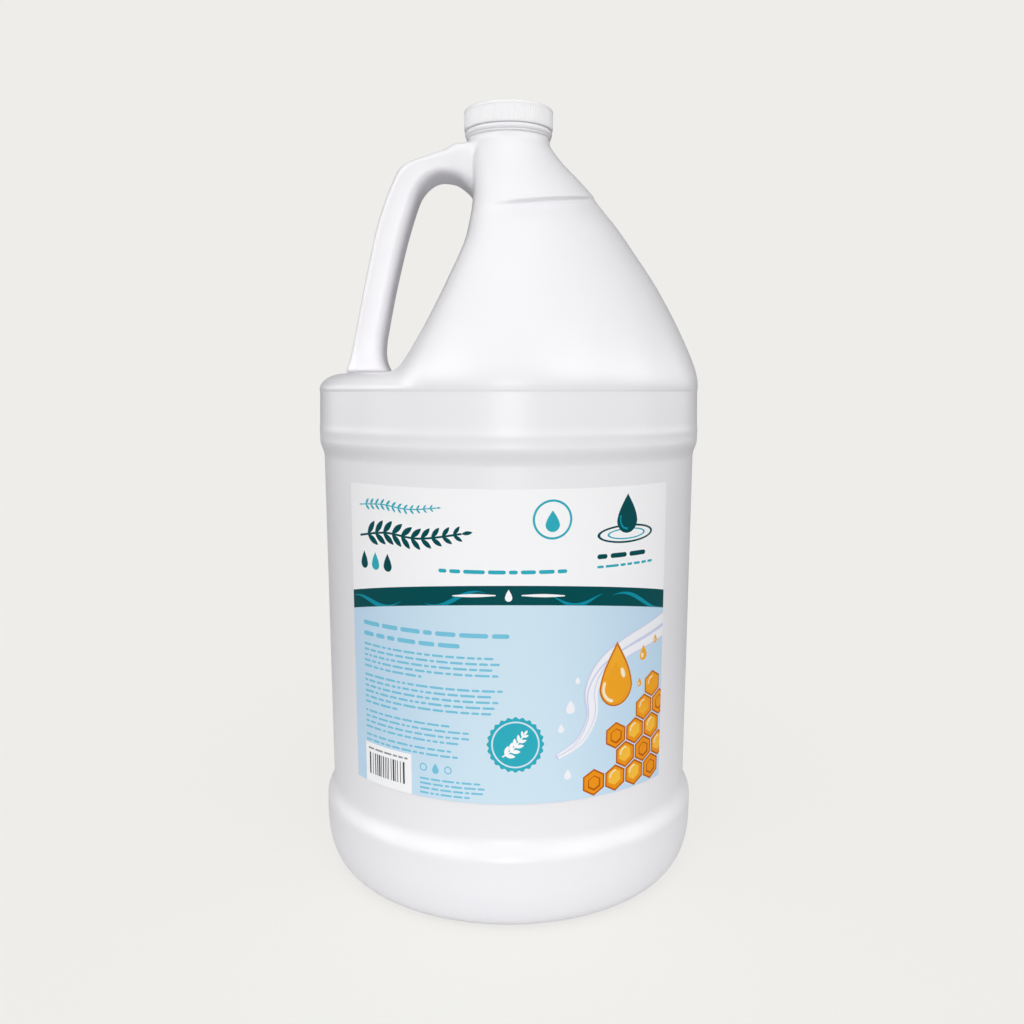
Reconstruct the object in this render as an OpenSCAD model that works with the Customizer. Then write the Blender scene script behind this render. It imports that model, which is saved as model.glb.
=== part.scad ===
// One-gallon round jug: a hollow blow-moulded body with a loop handle, a ribbed screw cap, the
// liner that seals the cap, and a wrap label. Millimetres, +Z up. The origin is the centre of the
// base, on the floor. The handle stands on the -X side and the label faces -Y.

/* [Jug body] */
// Largest radius, at the heel of the base
body_r = 76.2; // [75.6:0.1:77]
// Wall thickness of the blow moulding
wall = 0.9; // [0.7:0.1:1.1]
// Height at which the heel starts to narrow into the label panel
heel_top_z = 25.4; // [24:0.2:28]
// Radius of the label panel at its foot
panel_foot_r = 73.4; // [72.8:0.1:74]
// Radius of the label panel at its head
panel_head_r = 74.4; // [73.8:0.1:75]
// Height at which the label panel starts
panel_z = 39.9; // [36:0.1:44]
// Height at which the label panel ends and steps out to the band
panel_top_z = 168; // [164:0.1:170]
// Height of the lower edge of the band
band_z = 174.7; // [174:0.1:180]
// Height of the shoulder line, where the band ends
shoulder_z = 194.2; // [190:0.1:196]
// Height of the push-up in the middle of the base
push_up = 5; // [2:0.5:8]

/* [Handle] */
// Half the width of the grip, across the handle
grip_half_w = 10.5; // [9:0.5:11.5]
// Squareness of the handle's section, 2 is an ellipse
grip_square = 2.7; // [2:0.1:3.5]

/* [Neck] */
// Radius of the neck below the bead
neck_r = 16.25; // [16:0.05:16.5]
// Radius of the moulded bead under the cap
bead_r = 17.5; // [17.2:0.1:18]
// Radius of the neck finish at the root of its thread
finish_r = 14.85; // [14.6:0.05:15.2]
// Radius of the pouring bore
bore_r = 12.6; // [12:0.1:13]
// Height of the lip of the neck
lip_z = 300.1; // [299.6:0.1:300.6]

/* [Cap] */
// Radius over the ribs of the cap
cap_r = 17.55; // [17.3:0.05:18]
// Number of grip ribs round the skirt
cap_ribs = 96; // [60:1:110]
// Depth of the grip ribs
rib_depth = 0.35; // [0.2:0.05:0.4]
// Height of the underside of the skirt
cap_z = 294.9; // [294.7:0.1:295.4]
// Thickness of the top of the cap
cap_top_t = 1.5; // [1.2:0.1:2]
// Thickness of the liner
liner_t = 1.1; // [0.8:0.1:1.5]

/* [Label] */
// Height of the label's lower edge
label_z = 49.4; // [44:0.2:60]
// Height of the label
label_h = 111.4; // [90:0.2:118]
// Angle that the label spans round the jug
label_angle = 100.8; // [60:0.2:170]
// Thickness of the label film
label_t = 0.25; // [0.2:0.05:0.4]

/* [Hidden] */
$fn = 96;

// Heel: a superellipse quarter from the standing ring to the side of the jug
heel_w = 13.9;
heel_h = 22.6;
heel_square = 2.4;
stand_r = 50;
// Band, and the fine groove that marks the shoulder line
band_foot_r = body_r - 0.2;
band_head_r = body_r - 0.6;
groove_r = body_r - 0.9;
// Ledge on the handle side, rounded over into the band
ledge_w = 10;
ledge_h = 6.2;
// Share by which the wall is widened sideways in the sloping dome
dome_skin = 1.35 * wall;
// Large radius of the slightly crowned face behind the handle
face_r = 300;

// Stations of the dome: height above the shoulder line, radius, distance of the face behind the
// handle from the axis, and radius of the two corners where that face meets the round side
DOME = [
    [0.2, 75.6, 48.4, 22],
    [2.8, 76.0, 46.8, 20],
    [6.8, 75.0, 43.8, 17],
    [14, 72.2, 38.8, 14],
    [26, 66.5, 31.8, 11],
    [40, 58.7, 24.6, 9],
    [54, 49.3, 18.0, 8],
    [62, 43.7, 15.8, 7.5],
    [68, 39.1, 14.6, 7],
    [73.2, 35.3, 14.0, 7],
    [80, 29.3, 13.7, 6.5],
    [87, 22.5, 13.6, 6],
    [92, 18.4, 13.5, 5],
    [95.4, 15.9, 13.4, 4.5]
];

// Stations of the handle from its foot to its root: x and height above the shoulder line of the
// outer edge, the same for the inner edge, and the width as a share of the grip's
HANDLE = [
    [-67.4, 1.5, -45.8, 1.5, 1.18],
    [-65.8, 6, -47.4, 6, 1.14],
    [-63.8, 11, -49.6, 11, 1.05],
    [-62.0, 18.5, -50.0, 17, 1],
    [-60.0, 28, -48.5, 26, 1],
    [-56.4, 44.5, -45.1, 42, 1],
    [-52.6, 61, -41.1, 57.7, 1],
    [-49.2, 71.5, -37.5, 69.4, 1.02],
    [-46.0, 79.3, -34.8, 76.2, 1.05],
    [-41.8, 86.3, -31.2, 80.4, 1.08],
    [-33.4, 89.8, -27.0, 82.5, 1.1],
    [-25.4, 92.4, -22.0, 82.1, 1.14],
    [-21.4, 94.6, -18.8, 80.6, 1.18],
    [-16.6, 95.3, -15.4, 77.8, 1.22],
    [-10.2, 96.2, -10.4, 74, 1.26]
];

// Points round a dome section, and round a handle section
dome_arc = 36;
dome_corner = 5;
dome_face = 6;
grip_points = 20;

function mix(a, b, t) = a + (b - a) * t;
function ease(t) = (1 - cos(180 * t)) / 2;
function signed_pow(v, e) = sign(v) * pow(abs(v), e);

// Smooth curve through a list of stations, as many steps between each two
function catmull(a, b, c, d, t) =
    0.5 * (2 * b + (c - a) * t + (2 * a - 5 * b + 4 * c - d) * pow(t, 2)
        + (3 * b - a - 3 * c + d) * pow(t, 3));
function through(p, steps) = [
    for (i = [0:len(p) - 2], s = [0:steps - 1])
        catmull(p[max(i - 1, 0)], p[i], p[i + 1], p[min(i + 2, len(p) - 1)], s / steps),
    p[len(p) - 1]
];

// Half section of the jug from the middle of the base up to the shoulder line, drawn in by t
function side_profile(t) = concat(
    [for (i = [0:8]) [stand_r * i / 8, t + push_up * (1 - ease(i / 8))]],
    [for (i = [0:12]) let (u = 7.5 * i) [
        body_r - heel_w + (heel_w - t) * pow(sin(u), 2 / heel_square),
        heel_h - (heel_h - t) * pow(cos(u), 2 / heel_square)
    ]],
    [for (i = [0:8]) [
        mix(body_r, panel_foot_r, ease(i / 8)) - t,
        mix(heel_top_z, panel_z, i / 8)
    ]],
    [for (i = [0:5]) [
        mix(panel_head_r, band_foot_r, ease(i / 5)) - t,
        mix(panel_top_z, band_z, i / 5)
    ]],
    [[band_head_r - t, shoulder_z - 1], [groove_r - t, shoulder_z - 0.2]]
);

// Half section of the ledge, rounded over from the shoulder line to its flat top, drawn in by t
function ledge_profile(t) = concat(
    [for (i = [1:8]) let (u = 11.25 * i) [
        groove_r - ledge_w + (ledge_w - t) * cos(u),
        shoulder_z + (ledge_h - t) * sin(u)
    ]],
    [[0, shoulder_z + ledge_h - t]]
);
function reversed(p) = [for (i = [len(p) - 1:-1:0]) p[i]];

// One section of the dome: a round side, a slightly crowned face towards -X, and a rounded corner
// between them on each side, drawn in by t
function dome_ring(station, t) = let (
    z = shoulder_z + station[0],
    side_r = station[1] - t,
    corner_r = station[3] - t,
    big_r = face_r - t,
    face_x = big_r - station[2] + t,
    corner_x = (pow(face_x, 2) + pow(side_r - corner_r, 2) - pow(big_r - corner_r, 2)) / (2 * face_x),
    corner_y = sqrt(pow(side_r - corner_r, 2) - pow(corner_x, 2)),
    side_a = atan2(corner_y, corner_x),
    face_a = atan2(corner_y, corner_x - face_x)
) concat(
    [for (i = [0:dome_arc]) let (a = mix(-side_a, side_a, i / dome_arc))
        [side_r * cos(a), side_r * sin(a), z]],
    [for (i = [1:dome_corner]) let (a = mix(side_a, face_a, i / dome_corner))
        [corner_x + corner_r * cos(a), corner_y + corner_r * sin(a), z]],
    [for (i = [1:dome_face]) let (a = mix(face_a, 360 - face_a, i / dome_face))
        [face_x + big_r * cos(a), big_r * sin(a), z]],
    [for (i = [1:dome_corner - 1]) let (a = mix(360 - face_a, 360 - side_a, i / dome_corner))
        [corner_x + corner_r * cos(a), -corner_y + corner_r * sin(a), z]]
);

// One section of the handle, spanned between its outer and inner edge, drawn in by t
function handle_ring(station, t) = let (
    outer = [station[0], shoulder_z + station[1]],
    inner = [station[2], shoulder_z + station[3]],
    middle = (outer + inner) / 2,
    half = norm(outer - inner) / 2,
    along = (outer - inner) / (2 * half)
) [
    for (i = [0:grip_points - 1]) let (
        a = 360 * i / grip_points,
        u = (half - t) * signed_pow(cos(a), 2 / grip_square),
        v = (grip_half_w * station[4] - t) * signed_pow(sin(a), 2 / grip_square)
    ) [middle.x + along.x * u, -v, middle.y + along.y * u]
];

// Closed skin over a stack of sections that have the same number of points
module loft(rings) {
    n = len(rings[0]);
    last = (len(rings) - 1) * n;
    polyhedron(
        points = [for (ring = rings) each ring],
        faces = concat(
            [[for (j = [0:n - 1]) j]],
            [for (k = [0:n:last - n], j = [0:n - 1])
                [k + j, k + n + j, k + n + (j + 1) % n, k + (j + 1) % n]],
            [[for (j = [n - 1:-1:0]) last + j]]
        )
    );
}

// The wall of the jug up to the ledge, one revolved section
module body_wall() {
    rotate_extrude()
        polygon(concat(
            side_profile(0), ledge_profile(0), reversed(ledge_profile(wall)), reversed(side_profile(wall))
        ));
}

// The hollow under the ledge, a hair larger than the space inside the wall
module ledge_hollow() {
    t = wall - 0.05;
    rotate_extrude()
        polygon(concat(
            [[0, shoulder_z - 5], [band_head_r - t, shoulder_z - 5], [band_head_r - t, shoulder_z - 1]],
            [[groove_r - t, shoulder_z - 0.2]],
            ledge_profile(t)
        ));
}

// The dome from the shoulder line up to the neck
module dome() {
    loft([for (s = through(DOME, 2)) dome_ring(s, 0)]);
}

// The hollow of the dome, which starts inside the band and ends inside the neck
module dome_hollow() {
    start = [-4, DOME[0][1] - wall, DOME[0][2], DOME[0][3]];
    inner = [for (i = [1:len(DOME) - 2]) DOME[i]];
    loft([for (s = concat([start], inner)) dome_ring(s, dome_skin)]);
}

module handle() {
    loft([for (s = through(HANDLE, 2)) handle_ring(s, 0)]);
}

// The channel inside the handle, open to the band at its foot and to the neck at its root
module handle_hollow() {
    loft([for (s = through(HANDLE, 2)) handle_ring(s, wall)]);
}

// Neck with its bead, and the finish that carries the thread
module neck() {
    bead_z = shoulder_z + 97.2;
    rotate_extrude()
        polygon([
            [0, shoulder_z + 90],
            [neck_r, shoulder_z + 90],
            [neck_r, bead_z],
            [bead_r - 0.3, bead_z + 0.4],
            [bead_r, bead_z + 0.9],
            [bead_r, bead_z + 2.4],
            [bead_r - 0.4, bead_z + 3],
            [finish_r, bead_z + 3.1],
            [finish_r, lip_z - 0.4],
            [finish_r - 0.4, lip_z],
            [0, lip_z]
        ]);
}

// Pouring bore, opening out under the bead into the dome
module neck_hollow() {
    throat_r = neck_r - 1.2;
    rotate_extrude()
        polygon([
            [0, shoulder_z + 86],
            [throat_r, shoulder_z + 86],
            [throat_r, shoulder_z + 95],
            [bore_r, shoulder_z + 98],
            [bore_r, lip_z + 1],
            [0, lip_z + 1]
        ]);
}

// The jug, one hollow moulding with its handle
module jug() {
    color([0.95, 0.95, 0.96])
        difference() {
            union() {
                body_wall();
                dome();
                handle();
                neck();
            }
            union() {
                ledge_hollow();
                dome_hollow();
                handle_hollow();
                neck_hollow();
            }
        }
}

// Screw cap: a thin skirt with fine upright ribs under a flat top with a rounded edge
module screw_cap() {
    root_r = cap_r - rib_depth;
    rib_top_z = lip_z + 1.6;
    crown_z = lip_z + 0.05 + liner_t + 0.05 + cap_top_t;
    edge_r = 0.9;
    color([0.97, 0.97, 0.98])
        difference() {
            union() {
                translate([0, 0, cap_z])
                    linear_extrude(height = rib_top_z - cap_z)
                        polygon([
                            for (i = [0:cap_ribs - 1], p = [[0, root_r], [0.3, cap_r], [0.6, cap_r], [0.9, root_r]])
                                let (a = 360 * (i + p[0]) / cap_ribs) [p[1] * cos(a), p[1] * sin(a)]
                        ]);
                rotate_extrude()
                    polygon(concat(
                        [[0, lip_z], [root_r + 0.15, lip_z]],
                        [for (i = [0:5]) let (a = 18 * i) [
                            root_r + 0.15 - edge_r + edge_r * cos(a),
                            crown_z - edge_r + edge_r * sin(a)
                        ]],
                        [[0, crown_z]]
                    ));
            }
            translate([0, 0, cap_z - 1])
                cylinder(r = root_r - 0.85, h = crown_z - cap_top_t - cap_z + 1);
        }
}

// Liner: a flat foam disc between the lip of the neck and the top of the cap
module cap_liner() {
    color([0.9, 0.9, 0.88])
        translate([0, 0, lip_z + 0.05])
            cylinder(r = cap_r - rib_depth - 1.15, h = liner_t);
}

// Label: a thin film that follows the slight taper of the panel
module label() {
    function panel_at(z) =
        mix(panel_foot_r, panel_head_r, (z - panel_z) / (panel_top_z - panel_z));
    foot_r = panel_at(label_z);
    head_r = panel_at(label_z + label_h);
    color([0.75, 0.87, 0.94])
        rotate([0, 0, -90 - label_angle / 2])
            rotate_extrude(angle = label_angle)
                polygon([
                    [foot_r, label_z],
                    [foot_r + label_t, label_z],
                    [head_r + label_t, label_z + label_h],
                    [head_r, label_z + label_h]
                ]);
}

jug();
screw_cap();
cap_liner();
label();
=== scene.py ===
import math

import bpy
import numpy as np
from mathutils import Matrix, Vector
from mathutils.geometry import delaunay_2d_cdt


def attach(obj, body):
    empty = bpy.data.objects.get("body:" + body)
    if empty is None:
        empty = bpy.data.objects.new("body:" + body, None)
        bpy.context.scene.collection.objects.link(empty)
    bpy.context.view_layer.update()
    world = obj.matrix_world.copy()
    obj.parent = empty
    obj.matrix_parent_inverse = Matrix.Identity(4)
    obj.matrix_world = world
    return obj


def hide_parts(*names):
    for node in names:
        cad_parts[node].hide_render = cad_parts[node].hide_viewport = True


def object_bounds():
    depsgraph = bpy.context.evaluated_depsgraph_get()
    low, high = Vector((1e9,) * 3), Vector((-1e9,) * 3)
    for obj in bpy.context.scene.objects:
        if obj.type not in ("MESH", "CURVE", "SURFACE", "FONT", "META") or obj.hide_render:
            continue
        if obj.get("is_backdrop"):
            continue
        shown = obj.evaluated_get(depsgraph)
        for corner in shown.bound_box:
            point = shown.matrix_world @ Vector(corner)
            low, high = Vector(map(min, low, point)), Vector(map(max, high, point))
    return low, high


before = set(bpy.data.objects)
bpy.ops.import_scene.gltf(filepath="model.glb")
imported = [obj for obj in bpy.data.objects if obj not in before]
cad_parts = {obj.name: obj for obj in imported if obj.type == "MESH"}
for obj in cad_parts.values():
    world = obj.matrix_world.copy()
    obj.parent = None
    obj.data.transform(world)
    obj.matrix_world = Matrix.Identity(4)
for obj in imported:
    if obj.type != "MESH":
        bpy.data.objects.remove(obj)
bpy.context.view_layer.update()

MM = 0.001

# ---------------------------------------------------------------- sizes, in millimetres
# Side of the jug: heel, label panel and band
BODY_R, HEEL_W, HEEL_H, HEEL_SQUARE = 76.2, 13.9, 22.6, 2.4
STAND_R, PUSH_UP = 50.0, 5.0
# Tuck from the heel up to the panel: where it starts and ends, as shares of its height, and its lean
TUCK_SPAN, TUCK_LEAN = (0.24, 0.82), 0.85
HEEL_TOP_Z, PANEL_Z, PANEL_TOP_Z, BAND_Z, SHOULDER_Z = 25.4, 39.9, 168.0, 174.7, 194.2
PANEL_FOOT_R, PANEL_HEAD_R = 73.4, 74.4
BAND_FOOT_R, BAND_HEAD_R, SHOULDER_R = BODY_R - 0.2, BODY_R - 0.6, BODY_R - 0.45
# Faint ridge near the band's lower edge: its height on the jug, how far it stands out and reaches
RIDGE_Z, RIDGE_H, RIDGE_REACH = 178.6, 0.16, 1.7
# Height of the faint step from the band up to the shoulder
STEP_H = 0.8
# Rounding of the ledge over into the band
LEDGE_W, LEDGE_H = 10.0, 6.2
# The fillet between the ledge and the dome
VALLEY_REACH, VALLEY_SOFT = 6.0, 2.6
# Softness of the other edges, and the heights above the shoulder between which it sets in
EDGE_SOFT, EDGE_FROM = 0.9, (0.8, 2.4)
WALL = 0.9
# Radius of the nearly flat face behind the handle
FACE_R = 300.0
# Stations of the dome: height above the shoulder, radius, distance of the face behind the handle
# from the axis, and radius of the corners between that face and the round side
DOME = np.array([
    [0.2, SHOULDER_R, 48.4, 22], [2.8, 75.75, 46.8, 20], [6.8, 74.9, 43.8, 17], [14, 72.2, 38.8, 14],
    [26, 66.5, 31.8, 11], [40, 58.7, 24.6, 9], [54, 49.3, 18.0, 8], [62, 43.7, 15.8, 7.5],
    [68, 39.1, 14.6, 7], [73.2, 35.3, 14.0, 7], [80, 29.3, 13.7, 6.5], [87, 22.5, 13.6, 6],
    [92, 18.4, 13.5, 5], [95.4, 16.2, 13.4, 4.5],
])
# Stations of the handle, foot to root: outer x and height above the shoulder, inner x and height,
# and the width as a share of the grip's
HANDLE = np.array([
    [-67.4, 1.5, -45.8, 1.5, 1.18], [-65.8, 6, -47.4, 6, 1.14], [-63.8, 11, -49.6, 11, 1.05],
    [-62.0, 18.5, -50.0, 17, 1], [-60.0, 28, -48.5, 26, 1], [-56.4, 44.5, -45.1, 42, 1],
    [-52.6, 61, -41.1, 57.7, 1], [-49.2, 71.5, -37.5, 69.4, 1.02], [-46.0, 79.3, -34.8, 76.2, 1.05],
    [-41.8, 86.3, -31.2, 80.4, 1.08], [-33.4, 89.8, -27.0, 82.5, 1.1], [-25.4, 92.4, -22.0, 82.1, 1.14],
    [-21.4, 94.6, -18.8, 80.6, 1.18], [-16.6, 95.3, -15.4, 77.8, 1.22], [-10.2, 96.2, -10.4, 74, 1.26],
])
GRIP_HALF_W, GRIP_SQUARE = 10.5, 4.6
# Fillets of the handle's foot and root: their reach on the outer side and on the inner side
FOOT_REACH, ROOT_REACH = (0.4, 1.7), (2.0, 3.4)
# How far the fillets' ends lie below the jug's skin
SUNK = 0.04
# Pinch where the handle meets the ledge: its reach up the handle and its share of the depth and width
PINCH_REACH, PINCH_IN = 0.9, (0.1, 0.26)
# Crease round the dome, which falls from its height on +X towards the handle and fades out there:
# below it the dome drops more steeply, and comes back to its slope over that reach
CREASE_Z, CREASE_FALL, CREASE_FADE = 269.9, 5.3, (1.4, 1.9)
CREASE_H, CREASE_REACH, CREASE_SOFT = 2.6, 2.2, 0.45
# Share of its depth that it has on +X, the angles over which it deepens, and the height of the
# window in which the edges are kept crisper for it
CREASE_LEAST, CREASE_SPAN, CREASE_WINDOW = 0.2, (0.1, 0.8), 9
# Neck, bead and threaded finish
NECK_R, BEAD_R, FINISH_R, BORE_R, LIP_Z = 16.25, 17.5, 14.85, 12.6, 300.1
BEAD_Z = SHOULDER_Z + 97.2
NECK_FOOT_Z = BEAD_Z - 0.5
# Heights above the shoulder between which the dome's least radius grows to the neck's
NECK_RISE = (88, 94.5)
THREAD_H, THREAD_PITCH, THREAD_FOOT_Z, THREAD_TURNS = 1.15, 4.23, 296.1, 1.15
# Part of a turn over which a thread fades at each end, and half-widths of its crest and its foot
THREAD_FADE, THREAD_HALF_W = 0.08, (0.35, 1.0)
# Cap and liner
CAP_R, CAP_RIBS, RIB_DEPTH, CAP_Z, CAP_TOP_T, LINER_T = 17.5, 96, 0.12, 294.9, 1.5, 1.1
# Rounding of the cap's top edge and of its skirt's foot, and the skirt's wall
CAP_EDGE, CAP_FOOT, CAP_WALL = 0.9, 0.45, 0.95
CAP_THREAD_H, CAP_THREAD_TURNS = 0.3, 0.9
# Radius at which the cap's skins end beside its axis
POLE_R = 0.01
# Play between lip, liner and cap
LINER_PLAY = 0.05
# Label: its foot, height, angle and thickness, and the gap behind it
LABEL_Z, LABEL_H, LABEL_ANGLE, LABEL_T = 49.4, 111.4, math.radians(100.8), 0.25
LABEL_GAP = 0.02

# Columns of the jug's grid, and how many of them its sections are blended over
COLUMNS = 600
BLEND_COLUMNS, BLEND_REACH = 4.5, 12
UPPER_ROWS, UPPER_SAMPLES = 300, 900
# The inside of the wall keeps every sixth row of the dome and every second of the side
INNER_STEP, SIDE_STEP = 6, 2
HANDLE_COLUMNS, HANDLE_RINGS, GRIP_ROWS, SKIRT_ROWS = 96, 260, 420, 14
BISECTIONS = 24
# Angles between faces, in degrees, from which an edge is shaded sharp
JUG_SHARP, CAP_SHARP = 50, 60


# ---------------------------------------------------------------- curves and meshes
def mix(a, b, t):
    """What lies a share t of the way from a to b."""
    return a + (b - a) * t


def smooth(a, b, x):
    """Share that goes from 0 at a to 1 at b, slower at both ends."""
    t = np.clip((x - a) / (b - a), 0, 1)
    return t * t * (3 - 2 * t)


def ease(t):
    """A share from 0 to 1, made slower at both ends."""
    return (1 - np.cos(np.pi * t)) / 2


def through(stations, steps):
    """A smooth curve through stations, with as many steps between each two."""
    p = np.vstack([stations[0], stations, stations[-1]])
    t = np.linspace(0, 1, steps, endpoint=False)[:, None]
    rows = []
    for a, b, c, d in zip(p, p[1:], p[2:], p[3:]):
        rows.append(0.5 * (2 * b + (c - a) * t + (2 * a - 5 * b + 4 * c - d) * t ** 2
                           + (3 * b - a - 3 * c + d) * t ** 3))
    return np.vstack(rows + [stations[-1:]])


def along(line):
    """Length run from the start of a line of points to each of them."""
    return np.concatenate([[0], np.cumsum(np.linalg.norm(np.diff(line, axis=0), axis=1))])


def resample(line, count):
    """The line with that many points, evenly spaced."""
    s = along(line)
    at = np.linspace(0, s[-1], count)
    return np.stack([np.interp(at, s, line[:, k]) for k in range(line.shape[1])], axis=1)


def softened(line, width):
    """The line with its corners rounded over about that width; its points are evenly spaced."""
    step = along(line)[-1] / (len(line) - 1)
    reach = max(1, int(3 * width / step))
    kernel = np.exp(-0.5 * (np.arange(-reach, reach + 1) * step / width) ** 2)
    kernel /= kernel.sum()
    padded = np.pad(line, ((reach, reach), (0, 0)), mode="reflect", reflect_type="odd")
    return np.stack([np.convolve(column, kernel, "valid") for column in padded.T], axis=1)


def placed(name, data):
    """A new object with that data, put in the scene."""
    made = bpy.data.objects.new(name, data)
    bpy.context.scene.collection.objects.link(made)
    return made


class Skin:
    """Vertices and faces of one mesh, gathered from several grids of points."""

    def __init__(self):
        self.points, self.faces, self.count = [], [], 0

    def grid(self, rows):
        """Adds a grid of rows x columns x 3, whose last column joins its first."""
        n, m = rows.shape[:2]
        index = self.count + np.arange(n * m).reshape(n, m)
        index = np.hstack([index, index[:, :1]])
        quads = np.stack([index[:-1, :-1], index[:-1, 1:], index[1:, 1:], index[1:, :-1]], axis=-1)
        self.faces.append(quads.reshape(-1, 4))
        self.points.append(rows.reshape(-1, 3))
        self.count += n * m

    def piece(self, name, material, sharp):
        """An object of what was gathered, shaded smooth but for edges sharper than an angle."""
        mesh = bpy.data.meshes.new(name)
        mesh.from_pydata((np.vstack(self.points) * MM).tolist(), [], np.vstack(self.faces).tolist())
        mesh.materials.append(material)
        mesh.shade_smooth()
        mesh.set_sharp_from_angle(angle=math.radians(sharp))
        return placed(name, mesh)


def turned(r, z, angles):
    """Rows of points for a section of radii and heights turned round the Z axis."""
    r = np.broadcast_to(np.asarray(r, float).reshape(len(z), -1), (len(z), len(angles)))
    heights = np.broadcast_to(np.asarray(z, float).reshape(len(z), -1), r.shape)
    return np.stack([r * np.cos(angles), r * np.sin(angles), heights], axis=-1)


# ---------------------------------------------------------------- the jug's own surface
def side_section():
    """Radii and heights from the middle of the base up to the shoulder line."""
    t = np.linspace(0, 1, 25)
    base = np.stack([STAND_R * t, PUSH_UP * (1 - ease(t))], axis=1)
    u = np.linspace(0, np.pi / 2, 49)
    heel = np.stack([BODY_R - HEEL_W + HEEL_W * np.sin(u) ** (2 / HEEL_SQUARE),
                     HEEL_H - HEEL_H * np.cos(u) ** (2 / HEEL_SQUARE)], axis=1)
    t = np.linspace(0, 1, 49)
    roll = smooth(*TUCK_SPAN, t ** TUCK_LEAN)
    tuck = np.stack([mix(BODY_R, PANEL_FOOT_R, roll), mix(HEEL_TOP_Z, PANEL_Z, t)], axis=1)
    panel = np.stack([mix(PANEL_FOOT_R, PANEL_HEAD_R, t), mix(PANEL_Z, PANEL_TOP_Z, t)], axis=1)[1:-1]
    cove = np.stack([mix(PANEL_HEAD_R, BAND_FOOT_R, ease(t)), mix(PANEL_TOP_Z, BAND_Z, t)], axis=1)
    z = np.linspace(BAND_Z, SHOULDER_Z, 80)[1:]
    band_r = np.interp(z, (BAND_Z, SHOULDER_Z), (BAND_FOOT_R, BAND_HEAD_R))
    band_r += RIDGE_H * np.exp(-((z - RIDGE_Z) / RIDGE_REACH) ** 2)
    band_r += (SHOULDER_R - BAND_HEAD_R) * smooth(SHOULDER_Z - STEP_H, SHOULDER_Z, z)
    band = np.stack([band_r, z], axis=1)
    return np.vstack([base, heel, tuck, panel, cove, band])


DOME_LINE = through(DOME, 12)
DOME_FOOT_Z = SHOULDER_Z + 0.2


def dome_sizes(z):
    """Radius, face distance and corner radius of the dome at heights z."""
    h = np.asarray(z) - SHOULDER_Z
    return [np.interp(h, DOME_LINE[:, 0], DOME_LINE[:, k]) for k in (1, 2, 3)]


def dome_radius(angle, z):
    """Distance of the dome's surface from the axis, at an angle from +X and a height."""
    side_r, face, corner = dome_sizes(z)
    face_x = FACE_R - face
    cx = (face_x ** 2 + (side_r - corner) ** 2 - (FACE_R - corner) ** 2) / (2 * face_x)
    cy = np.sqrt(np.maximum((side_r - corner) ** 2 - cx ** 2, 0))
    a = np.abs((np.asarray(angle) + np.pi) % (2 * np.pi) - np.pi)
    side_a = np.arctan2(cy, cx)
    turn = np.arctan2(cy, cx - face_x)
    face_a = np.arctan2(cy + corner * np.sin(turn), cx + corner * np.cos(turn))
    dot = cx * np.cos(a) + cy * np.sin(a)
    at_corner = dot + np.sqrt(np.maximum(corner ** 2 - cx ** 2 - cy ** 2 + dot ** 2, 0))
    dot = face_x * np.cos(a)
    at_face = dot + np.sqrt(FACE_R ** 2 - face_x ** 2 + dot ** 2)
    drawn = np.where(a <= side_a, side_r, np.where(a <= face_a, at_corner, at_face))
    above = z - CREASE_Z + CREASE_FALL * a
    below = np.maximum(-above, 0) / CREASE_REACH
    folded = CREASE_H * mix(CREASE_LEAST, 1, smooth(*CREASE_SPAN, a)) * below * np.exp(1 - below)
    drawn = drawn - folded * (1 - smooth(*CREASE_FADE, a))
    start, end = NECK_RISE
    return np.maximum(drawn, NECK_R * smooth(SHOULDER_Z + start, SHOULDER_Z + end, z))


def ledge_height(r):
    """Height of the ledge's rounded top at a distance from the axis."""
    edge = np.clip((r - SHOULDER_R + LEDGE_W) / LEDGE_W, 0, 1)
    return SHOULDER_Z + LEDGE_H * np.sqrt(1 - edge ** 2)


def upper_section(angle):
    """Radii and heights at one angle, from the shoulder line over the ledge and up the dome."""
    z = np.linspace(DOME_FOOT_Z, NECK_FOOT_Z, UPPER_SAMPLES)
    r = dome_radius(angle, z)
    # The dome shows from where it comes clear of the ledge
    clear = (z >= ledge_height(r)) | (r >= SHOULDER_R)
    first = int(np.argmax(clear))
    u = np.linspace(0, np.pi / 2, 40)
    ledge_r, ledge_z = SHOULDER_R - LEDGE_W, SHOULDER_Z + LEDGE_H
    over = np.stack([ledge_r + LEDGE_W * np.cos(u), SHOULDER_Z + LEDGE_H * np.sin(u)], axis=1)
    flat = np.linspace(ledge_r, 0, 120)[1:]
    ledge = np.vstack([over, np.stack([flat, np.full_like(flat, ledge_z)], axis=1)])
    ledge = ledge[ledge[:, 0] > r[first] + 0.05]
    line = np.vstack([[[SHOULDER_R, SHOULDER_Z]], ledge[1:], np.stack([r, z], axis=1)[first:]])
    line = resample(line, UPPER_ROWS)
    start, end = EDGE_FROM
    weight = smooth(SHOULDER_Z + start, SHOULDER_Z + end, line[:, 1:])
    off = np.hypot(line[:, 0] - r[first], line[:, 1] - z[first])[:, None]
    # In front, where the dome stands on the shoulder line, there is no ledge and so no valley
    valley = weight * np.exp(-(off / VALLEY_REACH) ** 2) * (first > 3)
    near = np.exp(-((line[:, 1:] - CREASE_Z + CREASE_FALL * np.pi / 2) / CREASE_WINDOW) ** 4)
    soft = mix(softened(line, EDGE_SOFT), softened(line, CREASE_SOFT), near)
    return mix(mix(line, soft, weight), softened(line, VALLEY_SOFT), valley)


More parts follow.
